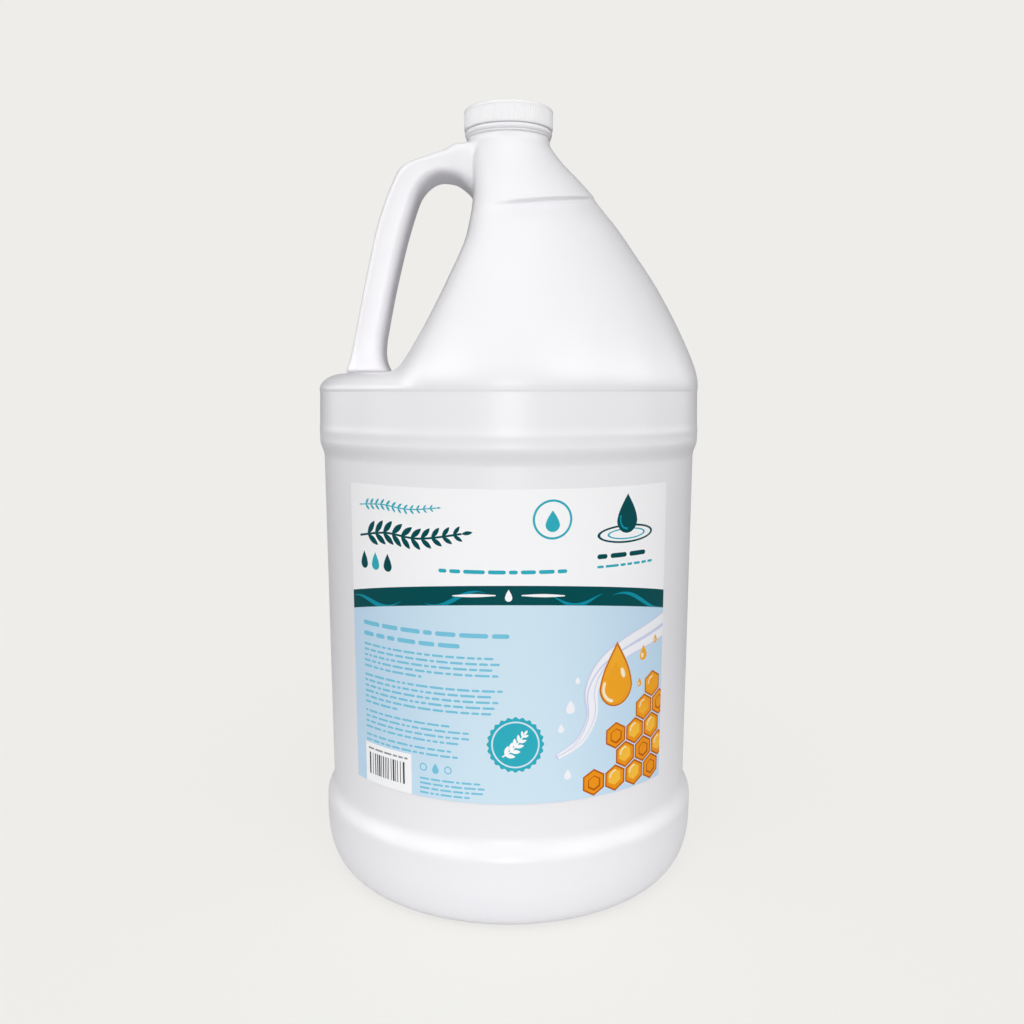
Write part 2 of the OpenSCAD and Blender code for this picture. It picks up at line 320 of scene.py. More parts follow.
def neck_section():
    """Radii and heights from below the bead, over the bead and up the finish to the lip."""
    waist = [[NECK_R - 0.06 * k, BEAD_Z - 0.5 + 0.18 * k] for k in range(4)]
    bead = waist + [[NECK_R - 0.12, BEAD_Z + 0.35], [NECK_R + 0.1, BEAD_Z + 0.55],
                    [BEAD_R - 0.8, BEAD_Z + 0.75]]
    u = np.linspace(-np.pi / 2, np.pi / 2, 15)
    nose_r, nose_z = 0.6, 1.1
    bead += [[BEAD_R - 0.35 - nose_r + nose_r * math.cos(a), BEAD_Z + 2.35 + nose_z * math.sin(a)]
             for a in u]
    bead += [[BEAD_R - 1.6, BEAD_Z + 3.45], [FINISH_R + 0.3, BEAD_Z + 3.4], [FINISH_R, BEAD_Z + 3.42]]
    finish = [[FINISH_R, z] for z in np.arange(BEAD_Z + 3.45, LIP_Z - 0.5, 0.12)]
    u = np.linspace(0, np.pi / 2, 6)
    lip = [[FINISH_R - 0.4 + 0.4 * math.cos(a), LIP_Z - 0.4 + 0.4 * math.sin(a)] for a in u]
    mouth = [[BORE_R + 0.3 - 0.3 * math.sin(a), LIP_Z - 0.3 + 0.3 * math.cos(a)] for a in u]
    return np.array(bead + finish + lip + mouth)


def thread(angle, z, foot_z, turns, pitch):
    """Share of the thread's height at angles and heights: a helix that fades at both ends."""
    share = np.zeros(np.broadcast(angle, z).shape)
    for lap in range(int(turns) + 2):
        run = (angle % (2 * np.pi)) / (2 * np.pi) + lap
        inside = smooth(0, THREAD_FADE, run) * (1 - smooth(turns - THREAD_FADE, turns, run))
        off = np.abs(z - foot_z - run * pitch)
        share = np.maximum(share, inside * (1 - smooth(*THREAD_HALF_W, off)))
    return share


ANGLES = np.linspace(0, 2 * np.pi, COLUMNS, endpoint=False)

jug = Skin()
side = side_section()
side_rows = turned(side[:, :1], side[:, 1], ANGLES)
upper = np.stack([upper_section(a) for a in ANGLES], axis=1)
# Sections are blended with their neighbours, which rounds the end of the ledge into the dome
shifts = np.arange(-BLEND_REACH, BLEND_REACH + 1)
blend = np.exp(-0.5 * (shifts / BLEND_COLUMNS) ** 2)
upper = sum(w * np.roll(upper, k, axis=1) for k, w in zip(shifts, blend / blend.sum()))
upper_rows = turned(upper[..., 0], upper[..., 1], ANGLES)
neck = neck_section()
on_finish = (neck[:, 0] >= FINISH_R - 0.01) & (neck[:, 1] > BEAD_Z + 3.2)
neck_r = neck[:, :1] + on_finish[:, None] * THREAD_H * thread(
    ANGLES[None, :], neck[:, 1:], THREAD_FOOT_Z, THREAD_TURNS, THREAD_PITCH)
neck_rows = turned(neck_r, neck[:, 1], ANGLES)
# Bore, and the inside of the wall down to the base
inner = upper[::-INNER_STEP] - [1.35 * WALL, 0.5 * WALL]
inner = inner[inner[:, 0, 1] < BEAD_Z - 3]
inner_rows = turned(inner[..., 0], inner[..., 1], ANGLES)
bore = turned([[BORE_R], [BORE_R], [NECK_R - 1.4]], [LIP_Z - 0.5, BEAD_Z + 1, BEAD_Z - 2], ANGLES)
side_in = side[::-SIDE_STEP]
side_in_rows = turned(np.maximum(side_in[:, :1] - WALL, 0), np.maximum(side_in[:, 1] + 0.2 * WALL, WALL),
                      ANGLES)
jug.grid(np.concatenate([side_rows, upper_rows[1:], neck_rows[1:], bore, inner_rows, side_in_rows]))


# ---------------------------------------------------------------- the handle
def handle_rings():
    """Rings of points round the handle, a squared oval between its outer and its inner line."""
    s = resample(through(HANDLE, 14), HANDLE_RINGS)
    outer, inner = s[:, 0:2], s[:, 2:4]
    middle, half = (outer + inner) / 2, np.linalg.norm(outer - inner, axis=1)[:, None] / 2
    across = (outer - inner) / (2 * half)
    a = np.linspace(0, 2 * np.pi, HANDLE_COLUMNS, endpoint=False)
    e = 2 / GRIP_SQUARE
    u = half * np.sign(np.cos(a)) * np.abs(np.cos(a)) ** e
    v = GRIP_HALF_W * s[:, 4:5] * np.sign(np.sin(a)) * np.abs(np.sin(a)) ** e
    x = middle[:, :1] + across[:, :1] * u
    z = SHOULDER_Z + middle[:, 1:] + across[:, 1:] * u
    return np.stack([x, -v, z], axis=-1)


# The dome leans, so the distance from it is somewhat less than the level one
DOME_LEAN = 0.9


def clearance(p):
    """Distance of points outside the jug's body, near the ledge and the dome; negative inside."""
    r, a = np.hypot(p[..., 0], p[..., 1]), np.arctan2(p[..., 1], p[..., 0])
    above = p[..., 2] - ledge_height(r)
    beside = (r - dome_radius(a, p[..., 2])) * DOME_LEAN
    return np.where(p[..., 2] > DOME_FOOT_Z, np.minimum(above, beside), -1.0)


def outward(p):
    """Unit normal of the body's surface near points p."""
    e = 0.02
    g = np.stack([clearance(p + e * d) - clearance(p - e * d) for d in np.eye(3)], axis=-1)
    return g / np.linalg.norm(g, axis=-1, keepdims=True)


def cut_index(rings, order):
    """For each line along the handle, the point where it enters the body, going in that order."""
    outside = clearance(rings) > 0
    n, m = outside.shape
    hit = np.zeros((m, 3))
    place = np.zeros(m)
    for j in range(m):
        i = n // 2
        while 0 < i < n - 1 and outside[i + order, j]:
            i += order
        a, b = rings[i, j], rings[min(max(i + order, 0), n - 1), j]
        lo, hi = 0.0, 1.0
        for _ in range(BISECTIONS):
            t = (lo + hi) / 2
            lo, hi = (t, hi) if clearance(a + (b - a) * t) > 0 else (lo, t)
        hit[j] = a + (b - a) * lo
        place[j] = i + order * lo
    return hit, place


def skirt(rings, order, reach):
    """Rows that carry the handle's skin over into the body's with a fillet of that reach."""
    hit, place = cut_index(rings, order)
    n, m = rings.shape[:2]
    start = np.zeros((m, 3))
    start_at = np.zeros(m)
    for j in range(m):
        s = along(rings[:, j])
        at = np.interp(place[j], np.arange(n), s) - order * reach[j]
        start_at[j] = np.interp(at, s, np.arange(n))
        start[j] = [np.interp(at, s, rings[:, j, k]) for k in range(3)]
    middle = hit.mean(axis=0)
    around = np.roll(hit, -1, axis=0) - np.roll(hit, 1, axis=0)
    ahead = hit - start
    skin_n = np.cross(around, ahead)
    skin_n /= np.linalg.norm(skin_n, axis=1, keepdims=True)
    skin_n *= np.sign(np.sum(skin_n * (hit - middle), axis=1, keepdims=True))
    n_body = outward(hit)
    away = skin_n - np.sum(skin_n * n_body, axis=1, keepdims=True) * n_body
    away /= np.linalg.norm(away, axis=1, keepdims=True)
    end = hit + away * reach[:, None]
    for _ in range(4):
        end = end - outward(end) * clearance(end)[:, None]
    end = end - SUNK * outward(end)
    t = np.linspace(0, 1, SKIRT_ROWS)[:, None, None]
    rows = (1 - t) ** 2 * start + 2 * t * (1 - t) * hit + t ** 2 * end
    return rows, start_at


rings = handle_rings()
inner_side = (1 - np.cos(np.linspace(0, 2 * np.pi, HANDLE_COLUMNS, endpoint=False))) / 2
foot, foot_at = skirt(rings, -1, mix(*FOOT_REACH, inner_side))
root, root_at = skirt(rings, 1, mix(*ROOT_REACH, inner_side))
grip = np.zeros((GRIP_ROWS, HANDLE_COLUMNS, 3))
for j in range(HANDLE_COLUMNS):
    at = np.linspace(foot_at[j], root_at[j], GRIP_ROWS)
    for k in range(3):
        grip[:, j, k] = np.interp(at, np.arange(HANDLE_RINGS), rings[:, j, k])
handle = np.concatenate([foot[::-1], grip[1:-1], root])
# The skin is pinched in where it meets the ledge
low_down = handle[..., 2] < SHOULDER_Z + 2 * LEDGE_H
at_foot = np.exp(-(clearance(handle) / PINCH_REACH) ** 2) * low_down
axis_x = (HANDLE[1, 0] + HANDLE[1, 2]) / 2
handle[..., :2] += at_foot[..., None] * PINCH_IN * ([axis_x, 0] - handle[..., :2])
jug.grid(handle)


# ---------------------------------------------------------------- materials
def material(name):
    """A new material, with its nodes and its links."""
    made = bpy.data.materials.new(name)
    made.use_nodes = True
    return made, made.node_tree.nodes, made.node_tree.links


def plastic(name, colour, roughness, grain_mm, depth):
    """A moulded plastic: one colour and a fine uneven skin."""
    made, nodes, links = material(name)
    shader = nodes["Principled BSDF"]
    shader.inputs["Base Color"].default_value = (*colour, 1)
    shader.inputs["Roughness"].default_value = roughness
    place = nodes.new("ShaderNodeTexCoord")
    noise = nodes.new("ShaderNodeTexNoise")
    noise.inputs["Scale"].default_value = 1 / (grain_mm * MM)
    noise.inputs["Detail"].default_value = 4
    links.new(place.outputs["Object"], noise.inputs["Vector"])
    bump = nodes.new("ShaderNodeBump")
    bump.inputs["Strength"].default_value = 0.3
    bump.inputs["Distance"].default_value = depth * MM
    links.new(noise.outputs["Fac"], bump.inputs["Height"])
    links.new(bump.outputs["Normal"], shader.inputs["Normal"])
    return made


HDPE = plastic("white_hdpe", (0.865, 0.855, 0.88), 0.33, 2.5, 0.04)
PP = plastic("white_pp", (0.9, 0.895, 0.91), 0.35, 1.5, 0.03)
FOAM = plastic("liner_foam", (0.85, 0.85, 0.82), 0.8, 0.6, 0.1)

jug_piece = jug.piece("jug_shell", HDPE, JUG_SHARP)
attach(jug_piece, "jug_body")
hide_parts("jug")

# ---------------------------------------------------------------- the cap
# Eight columns of the grid to a rib
CAP_COLUMNS = CAP_RIBS * 8
cap_angles = np.linspace(0, 2 * np.pi, CAP_COLUMNS, endpoint=False)
root_r = CAP_R - RIB_DEPTH
inside_r = root_r - CAP_WALL
crown_z = LIP_Z + LINER_PLAY + LINER_T + LINER_PLAY + CAP_TOP_T
edge_r, edge_z = root_r + 0.15 - CAP_EDGE, crown_z - CAP_EDGE
u = np.linspace(0, np.pi / 2, 10)
cap_section = [[inside_r, CAP_Z + 0.15], [root_r - 0.85, CAP_Z]]
cap_section += [[root_r - CAP_FOOT + CAP_FOOT * math.sin(a), CAP_Z + CAP_FOOT - CAP_FOOT * math.cos(a)]
                for a in u]
cap_section += [[root_r, z] for z in np.linspace(CAP_Z + 0.9, crown_z - 1.5, 12)]
cap_section += [[root_r + 0.12, crown_z - 1.2]]
cap_section += [[edge_r + CAP_EDGE * math.cos(a), edge_z + CAP_EDGE * math.sin(a)] for a in u]
# The top's middle lies a little lower than its border
cap_section += [[r, crown_z - dip] for r, dip in (
    (15.4, 0), (14.6, 0), (14.2, 0.12), (13.6, 0.15), (8, 0.15), (POLE_R, 0.15))]
cap_section = np.array(cap_section)
section_r, section_z = cap_section[:, :1], cap_section[:, 1:]
rib = 0.5 + 0.5 * np.cos(cap_angles * CAP_RIBS)
rib_start = smooth(CAP_Z + 0.4, CAP_Z + 1.0, section_z)
rib_share = rib_start * (1 - smooth(crown_z - 1.5, crown_z - 1.0, section_z))
cap_r = section_r + RIB_DEPTH * rib_share * rib[None, :] * (section_r > root_r - 0.05)
inside = [[POLE_R, crown_z - CAP_TOP_T], [inside_r - 0.1, crown_z - CAP_TOP_T]]
inside += [[inside_r, z] for z in np.linspace(crown_z - CAP_TOP_T - 0.1, CAP_Z + 0.2, 40)]
inside = np.array(inside)
cap_thread_z = THREAD_FOOT_Z + CAP_THREAD_TURNS * THREAD_PITCH / 2 + 0.3
in_thread = thread(cap_angles[None, :], inside[:, 1:], cap_thread_z, CAP_THREAD_TURNS, THREAD_PITCH)
threaded_r = inside[:, :1] - CAP_THREAD_H * in_thread * (inside[:, :1] > inside_r - 0.05)
cap = Skin()
cap.grid(np.concatenate([turned(threaded_r, inside[:, 1], cap_angles),
                         turned(cap_r, cap_section[:, 1], cap_angles)]))
cap_piece = cap.piece("cap_shell", PP, CAP_SHARP)
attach(cap_piece, "cap_body")
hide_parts("screw_cap")

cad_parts["cap_liner"].data.materials.clear()
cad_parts["cap_liner"].data.materials.append(FOAM)

# ---------------------------------------------------------------- the label's print
# Shapes are drawn flat, in millimetres across from the label's middle and up from its lower edge,
# each with an ink; a later shape covers an earlier one. The flat print is then wrapped on the panel.
LABEL_W = LABEL_ANGLE * (PANEL_FOOT_R + PANEL_HEAD_R) / 2
HALF = LABEL_W / 2
shapes = []


def draw(points, ink):
    """Adds a closed shape in an ink."""
    shapes.append((np.asarray(points, float), ink))


def oval(u, v, ru, rv, ink, tilt=0, count=40):
    """An oval of half-widths ru and rv, which may be tilted."""
    a = np.linspace(0, 2 * np.pi, count, endpoint=False)
    c, s = math.cos(tilt), math.sin(tilt)
    x, y = ru * np.cos(a), rv * np.sin(a)
    draw(np.stack([u + c * x - s * y, v + s * x + c * y], axis=1), ink)


def bar(u0, u1, v, h, ink):
    """A rounded bar from u0 to u1, centred on v."""
    r = h / 2
    a = np.linspace(-np.pi / 2, np.pi / 2, 5 if h < 1.2 else 9)
    right = np.stack([u1 - r + r * np.cos(a), v + r * np.sin(a)], axis=1)
    left = np.stack([u0 + r - r * np.cos(a), v - r * np.sin(a)], axis=1)
    draw(np.vstack([right, left]), ink)


def stroke(line, width, ink):
    """A line of points drawn with a width, which may vary from point to point."""
    line = np.asarray(line, float)
    t = np.gradient(line, axis=0)
    n = np.stack([-t[:, 1], t[:, 0]], axis=1)
    n *= (np.broadcast_to(width, len(line)) / 2 / np.linalg.norm(n, axis=1))[:, None]
    draw(np.vstack([line + n, (line - n)[::-1]]), ink)


def curve(stations, steps=8):
    """A smooth line to draw along, through stations."""
    return through(np.asarray(stations, float), steps)


def drop(u, v, half, tall, ink, lean=0.0):
    """A drop that hangs from its point: v is the height of its round end's middle."""
    a = np.linspace(0, 2 * np.pi, 56, endpoint=False)
    x = half * np.cos(a)
    y = half * np.sin(a)
    up = y > 0
    rise = np.where(up, y / half, 0)
    x = np.where(up, x * (1 - rise ** 2.2) ** 0.55 * (1 - 0.42 * rise), x)
    y = np.where(up, rise ** 0.9 * tall, y)
    draw(np.stack([u + x + lean * np.maximum(y, 0), v + y], axis=1), ink)


def hexagon(u, v, r, ink):
    """A hexagon that stands on one of its corners."""
    a = np.radians(np.arange(0, 360, 60) + 30)
    draw(np.stack([u + r * np.cos(a), v + r * np.sin(a)], axis=1), ink)


def words(u0, u1, v, h, ink, seed, share=1.0):
    """A printed line as rounded bars of uneven lengths, without any lettering."""
    rng = np.random.default_rng(seed)
    u, end = u0, u0 + (u1 - u0) * share
    while u < end - 2 * h:
        length = min(h * rng.uniform(1.8, 6.5), end - u)
        if length > 1.2 * h:
            bar(u, u + length, v, h, ink)
        u += length + 0.75 * h


def leaf(u, v, angle, length, width, ink):
    """A pointed leaf that starts at u, v and runs along an angle."""
    t = np.linspace(0, 1, 12)
    half = width / 2 * np.sin(np.pi * t) ** 0.8
    c, s = math.cos(angle), math.sin(angle)
    upper = np.stack([u + length * t * c - half * s, v + length * t * s + half * c], axis=1)
    lower = np.stack([u + length * t * c + half * s, v + length * t * s - half * c], axis=1)
    draw(np.vstack([upper, lower[-2:0:-1]]), ink)


def sprig(line, leaves, length, width, spread, thick, ink):
    """A stem along a line of points, with leaves in pairs on it and one at its end."""
    stroke(line, thick, ink)
    s = along(line)
    for at in np.linspace(0.1, 0.93, leaves) * s[-1]:
        u, v = np.interp(at, s, line[:, 0]), np.interp(at, s, line[:, 1])
        k = min(np.searchsorted(s, at), len(line) - 1)
        heading = math.atan2(*(line[k] - line[k - 1])[::-1])
        size = 1 - 0.45 * (at / s[-1]) ** 2
        for side in (-1, 1):
            leaf(u, v, heading + side * spread, length * size, width * size, ink)
    leaf(*line[-1], math.atan2(*(line[-1] - line[-2])[::-1]), length * 0.6, width * 0.6, ink)


BAND_LOW, BAND_HIGH, BAND_ARCH = 71.6, 78.4, 6.9


def arched(v, u):
    """Height of the band's lines, which run highest in the middle of the label."""
    return v - BAND_ARCH * (np.asarray(u) / HALF) ** 2


# Fields: white above, the dark band, pale blue below
draw([[-HALF, 0], [HALF, 0], [HALF, LABEL_H], [-HALF, LABEL_H]], "white")
across = np.linspace(-HALF, HALF, 61)
low_line = np.stack([across, arched(BAND_LOW, across)], axis=1)
high_line = np.stack([across, arched(BAND_HIGH, across)], axis=1)
draw(np.vstack([[[-HALF, 0], [HALF, 0]], low_line[::-1]]), "sky")
draw(np.vstack([low_line, high_line[::-1]]), "deep")
# Head of the label, left: sprigs of leaves where a name would stand
sprig(curve([[-59.5, 103.8], [-48, 104.6], [-36, 103.6], [-25, 104.6]]), 12, 2.9, 1.0, 0.8, 0.42, "teal")
sprig(curve([[-59.5, 92.6], [-46, 94.6], [-32, 93.6], [-16, 96.0]]), 10, 6.4, 2.3, 0.75, 0.75, "deep")
for u, ink in ((-57.4, "deep"), (-51.4, "teal"), (-45.4, "deep")):
    drop(u, 82.6, 1.9, 4.6, ink)
words(-24.5, 22.5, 83.0, 1.35, "teal", 3)
# A plain ring with a small drop, and an emblem of a drop over ripples
oval(15.0, 101.0, 6.9, 6.9, "teal")
oval(15.0, 101.0, 6.1, 6.1, "white")
drop(15.0, 99.2, 2.5, 5.0, "teal")
for ru, rv, ink in ((12.6, 3.3, "deep"), (11.5, 2.6, "white"), (8.6, 2.0, "teal"), (7.7, 1.5, "white")):
    oval(44.0, 94.6, ru, rv, ink)
drop(44.0, 99.4, 4.6, 9.4, "deep")
stroke(curve([[41.0, 101.2], [40.9, 98.9], [42.2, 96.9], [44.2, 96.3]]), 0.7, "wave")
words(31.5, 57.0, 87.2, 1.7, "deep", 11)
words(31.5, 57.0, 83.6, 0.9, "teal", 12)
# Band: waves in a lighter tone, and a white line broken by a drop
WAVES = ((-HALF + 0.4, 25.0, 0.4), (-30.0, 22.0, 1.2), (14.0, 20.0, 0.8), (38.0, 26.0, 0.2))
for start, span, dip in WAVES:
    t = np.linspace(0, 1, 24)
    u = np.minimum(start + span * t, HALF - 0.3)
    rise = 2.4 + 2.4 * np.sin(np.pi * (1.5 * t + dip))
    thin = 0.12 + 1.5 * np.sin(np.pi * t) ** 1.5
    top = np.clip(rise + thin / 2, 0.3, BAND_HIGH - BAND_LOW - 0.3)
    low = np.clip(rise - thin / 2, 0.15, BAND_HIGH - BAND_LOW - 0.45)
    draw(np.vstack([np.stack([u, arched(BAND_LOW + low, u)], axis=1),
                    np.stack([u, arched(BAND_LOW + top, u)], axis=1)[::-1]]), "wave")
for side in (-1, 1):
    u = side * np.linspace(4.4, 19.5, 12)
    thin = 0.35 + 0.75 * np.sin(np.linspace(0, np.pi, 12))
    stroke(np.stack([u, arched(75.0, u)], axis=1), thin, "white")
drop(0, 74.1, 1.25, 3.0, "white")
# Left column: lines of plain bars in three sizes
line_seed = 20
column = [(60.6, 1.6, 1.0), (56.6, 1.6, -17.0)]
column += [(52.6 - 2.05 * k, 0.85, end) for k, end in enumerate((-4.0, -3.0, -5.5, -3.5, -30.0))]
column += [(41.0 - 2.05 * k, 0.85, end) for k, end in enumerate((-2.0, -5.0, -3.5, -2.5, -6.0, -40.0))]
column += [(27.4 - 2.05 * k, 0.8, end) for k, end in enumerate((-20.0, -14.0, -12.0, -17.0))]
column += [(18.2 - 2.0 * k, 0.8, end) for k, end in enumerate((-20.5, -18.0))]
column += [(7.0 - 1.75 * k, 0.75, end) for k, end in enumerate((-10.0, -7.0, -9.0, -12.5))]
# The lowest lines stand beside the white panel
for v, h, u1 in column:
    line_seed += 1
    words(-33.0 if v < 8 else -58.8, u1, v, h, "line", line_seed)
# White panel of plain upright bars at the lower left
draw([[-59.3, 0], [-36.4, 0], [-36.4, 15.0], [-59.3, 15.0]], "white")
words(-57.8, -38.0, 13.0, 0.7, "grey", 7)
rng = np.random.default_rng(5)
u = -57.2
while u < -39.0:
    thick = rng.choice([0.35, 0.55, 0.8])
    draw([[u, 3.2], [u + thick, 3.2], [u + thick, 11.4], [u, 11.4]], "ink")
    u += thick + rng.choice([0.4, 0.6, 0.95])
# Three small signs
oval(-31.4, 11.2, 1.5, 1.5, "line")
oval(-31.4, 11.2, 1.0, 1.0, "sky")
drop(-26.6, 10.6, 1.3, 2.6, "line")
hexagon(-21.8, 11.2, 1.6, "line")
hexagon(-21.8, 11.2, 1.1, "sky")
# Round badge: a scalloped disc with a ring and a sprig in it
BADGE_U, BADGE_V = 2.4, 21.8
a = np.linspace(0, 2 * np.pi, 192, endpoint=False)
scallop = 9.8 + 0.35 * np.cos(24 * a)
draw(np.stack([BADGE_U + scallop * np.cos(a), BADGE_V + scallop * np.sin(a)], axis=1), "teal")
oval(BADGE_U, BADGE_V, 8.5, 8.5, "sky", count=64)
oval(BADGE_U, BADGE_V, 7.9, 7.9, "teal", count=64)
stem = curve([[BADGE_U - 4.6, BADGE_V - 4.4], [BADGE_U - 1.0, BADGE_V - 1.8],
              [BADGE_U + 2.9, BADGE_V + 3.4]])
sprig(stem, 5, 3.7, 1.5, 0.7, 0.5, "white")
# Right: a ribbon of cream behind a drop of oil, over cells of comb that run off the corner
# It starts outside the label, so that the edge cuts it
ribbon = curve([[HALF + 8, 60.0], [HALF, 58.4], [55.0, 56.0], [44.0, 53.0], [34.5, 47.5], [29.8, 39.5],
                [30.0, 30.0], [25.5, 21.5], [17.0, 16.4]])
width = mix(10.0, 2.0, np.linspace(0, 1, len(ribbon)) ** 1.3)
for shift, part, ink in ((0.0, 1.0, "cream_shade"), (0.5, 0.88, "cream"), (-1.2, 0.1, "cream_shade"),
                         (1.6, 0.07, "cream_shade")):
    stroke(ribbon + [shift, 0.4 * shift], width * part, ink)
CELL_R = 5.3
CELL_U, CELL_V = 59.0, 5.4
for row, steps in enumerate(((0, 1, 2, 3), (-0.5, 0.5, 1.5), (0, 1, 2), (-0.5, 0.5), (0,))):
    for k, step in enumerate(steps):
        u, v = CELL_U - step * math.sqrt(3) * CELL_R, CELL_V + 1.5 * CELL_R * row
        hexagon(u, v, CELL_R - 0.25, "amber_dark")
        hexagon(u, v, CELL_R - 0.95, "amber")
        if (2 * row + k) % 3:
            hexagon(u - 0.3, v + 0.4, CELL_R - 2.2, "amber_light")
            stroke(curve([[u - 2.4, v + 0.3], [u - 1.6, v + 2.1], [u + 0.2, v + 2.9]]), 0.5, "glint")
        else:
            hexagon(u + 0.2, v - 0.3, CELL_R - 2.4, "amber_dark")
            hexagon(u + 0.1, v - 0.1, CELL_R - 3.0, "amber")
DROP_U, DROP_V = 40.5, 39.6
drop(DROP_U, DROP_V, 7.3, 16.6, "amber_dark")
drop(DROP_U, DROP_V - 0.1, 6.7, 15.2, "amber")
drop(DROP_U - 0.5, DROP_V - 0.9, 4.9, 9.8, "amber_light")
stroke(curve([[DROP_U - 5.0, DROP_V + 2.4], [DROP_U - 5.6, DROP_V - 1.0], [DROP_U - 4.1, DROP_V - 3.9],
              [DROP_U - 1.4, DROP_V - 5.4]]), [0.4] * 2 + [1.1] * 21 + [0.4] * 2, "glint")
oval(DROP_U + 2.8, DROP_V + 4.6, 0.9, 2.0, "glint", tilt=0.35, count=24)
for u, v, r, ink in ((22.0, 33.6, 1.7, "cream"), (18.6, 26.4, 1.1, "cream"), (24.6, 43.4, 0.9, "cream"),
                     (53.4, 49.0, 1.9, "amber"), (60.2, 53.4, 1.1, "amber"), (21.2, 9.2, 1.3, "cream"),
                     (51.6, 38.6, 1.1, "amber")):
    drop(u, v, r, 2.0 * r, ink)
    if ink == "amber":
        oval(u - 0.3 * r, v, 0.35 * r, 0.5 * r, "glint", count=16)

# Width of the upright strips that the print is cut into so that it bends round the panel, the
# shortest side a shape keeps, and the reach within which the cutter takes points for one
STRIP_MM, SHORTEST, SAME_POINT = 2.5, 0.004, 1e-5


def cut(points, axis, limit, side):
    """The part of a shape that lies on one side of a straight edge of the label."""
    out = []
    for p, q in zip(points, np.roll(points, -1, axis=0)):
        inside = [side * (e[axis] - limit) <= 0 for e in (p, q)]
        if inside[0]:
            out.append(p)
        if inside[0] != inside[1]:
            out.append(p + (q - p) * (limit - p[axis]) / (q[axis] - p[axis]))
    return np.array(out)


def flat_print():
    """Cuts the shapes into triangles, each with the ink of the topmost shape over it."""
    coords, faces = [], []
    for points, _ in shapes:
        for axis, limit, side in ((0, -HALF, -1), (0, HALF, 1), (1, 0, -1), (1, LABEL_H, 1)):
            points = cut(points, axis, limit, side)
        points = points[np.linalg.norm(points - np.roll(points, 1, axis=0), axis=1) > SHORTEST]
        u, v = points.T
        if np.sum(u * np.roll(v, -1) - v * np.roll(u, -1)) <= 0:
            points = points[::-1]
        faces.append(list(range(len(coords), len(coords) + len(points))))
        coords.extend(map(tuple, points))
    edges = []
    for u in np.linspace(-HALF, HALF, round(LABEL_W / STRIP_MM) + 1)[1:-1]:
        edges.append((len(coords), len(coords) + 1))
        coords += [(u, 0.0), (u, LABEL_H)]
    out = delaunay_2d_cdt([Vector(c) for c in coords], edges, faces, 1, SAME_POINT, True)
    made, cut_faces, from_shapes = out[0], out[2], out[5]
    return np.array([tuple(v) for v in made]), cut_faces, [shapes[max(k)][1] for k in from_shapes]


def panel_r(z):
    """Radius of the label panel at a height."""
    return mix(PANEL_FOOT_R, PANEL_HEAD_R, (z - PANEL_Z) / (PANEL_TOP_Z - PANEL_Z))


def wrapped(flat, lift):
    """Points of the flat print laid round the panel, lifted off it by so much."""
    angle = -np.pi / 2 + flat[:, 0] / HALF * LABEL_ANGLE / 2
    z = LABEL_Z + flat[:, 1]
    r = panel_r(z) + lift
    return np.stack([r * np.cos(angle), r * np.sin(angle), z], axis=1)


# Specular level of the print, its least and its greatest roughness, and the size of its grain
INK_GLOSS, INK_ROUGH, INK_GRAIN = 0.06, (0.32, 0.4), 1.2


def ink_film(name, colour, second=None):
    """Gloss film in one colour, or in two that run into each other over the print."""
    made, nodes, links = material("ink_" + name)
    shader = nodes["Principled BSDF"]
    shader.inputs["Base Color"].default_value = (*colour, 1)
    shader.inputs["Specular IOR Level"].default_value = INK_GLOSS
    place = nodes.new("ShaderNodeTexCoord")
    grain = nodes.new("ShaderNodeTexNoise")
    grain.inputs["Scale"].default_value = 1 / (INK_GRAIN * MM)
    links.new(place.outputs["Object"], grain.inputs["Vector"])
    spread = nodes.new("ShaderNodeMapRange")
    spread.inputs["To Min"].default_value, spread.inputs["To Max"].default_value = INK_ROUGH
    links.new(grain.outputs["Fac"], spread.inputs["Value"])
    links.new(spread.outputs["Result"], shader.inputs["Roughness"])
    if second is not None:
        axis, start, stop, other = second
        split = nodes.new("ShaderNodeSeparateXYZ")
        links.new(place.outputs["Object"], split.inputs[0])
        size = nodes.new("ShaderNodeMath")
        size.operation = "ABSOLUTE"
        links.new(split.outputs[axis], size.inputs[0])
        share = nodes.new("ShaderNodeMapRange")
        share.interpolation_type = "SMOOTHSTEP"
        share.inputs["From Min"].default_value = start * MM
        share.inputs["From Max"].default_value = stop * MM
        links.new(size.outputs[0], share.inputs["Value"])
        blend = nodes.new("ShaderNodeMix")
        blend.data_type = "RGBA"
        blend.inputs["A"].default_value = (*colour, 1)
        blend.inputs["B"].default_value = (*other, 1)
        links.new(share.outputs["Result"], blend.inputs["Factor"])
        links.new(blend.outputs["Result"], shader.inputs["Base Color"])
    return made


